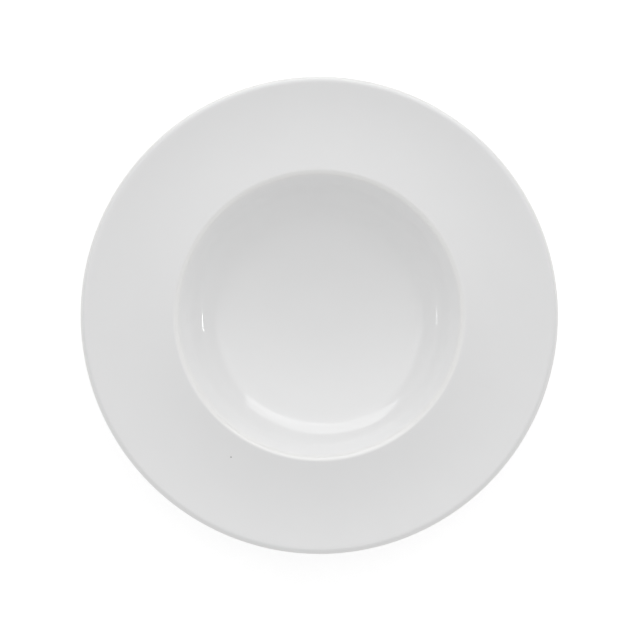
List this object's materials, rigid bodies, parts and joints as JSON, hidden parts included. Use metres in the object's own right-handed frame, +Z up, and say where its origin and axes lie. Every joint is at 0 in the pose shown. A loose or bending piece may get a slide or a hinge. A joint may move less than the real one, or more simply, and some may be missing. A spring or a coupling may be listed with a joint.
{
  "type": "rimmed soup plate",
  "caption": "Round soup plate with a deep central well, a broad gently dished rim, a soft rounded lip and a foot ring.",
  "frame": {"origin": "centre of the foot ring's standing face, on the plane that the plate stands on", "axes": "+Z up along the axis of the round plate; X and Y are alike, and +Y is the side that the picture shows at its top"},
  "size_m": [0.27, 0.27, 0.0454],
  "materials": {
    "porcelain": "bare fired, fine matt",
    "glaze": "clear gloss glaze over white porcelain"
  },
  "bodies": {
    "root": {"porcelain_body": "porcelain", "glaze_coat": "glaze", "foot_recess_glaze": "glaze"}
  },
  "joints": []
}
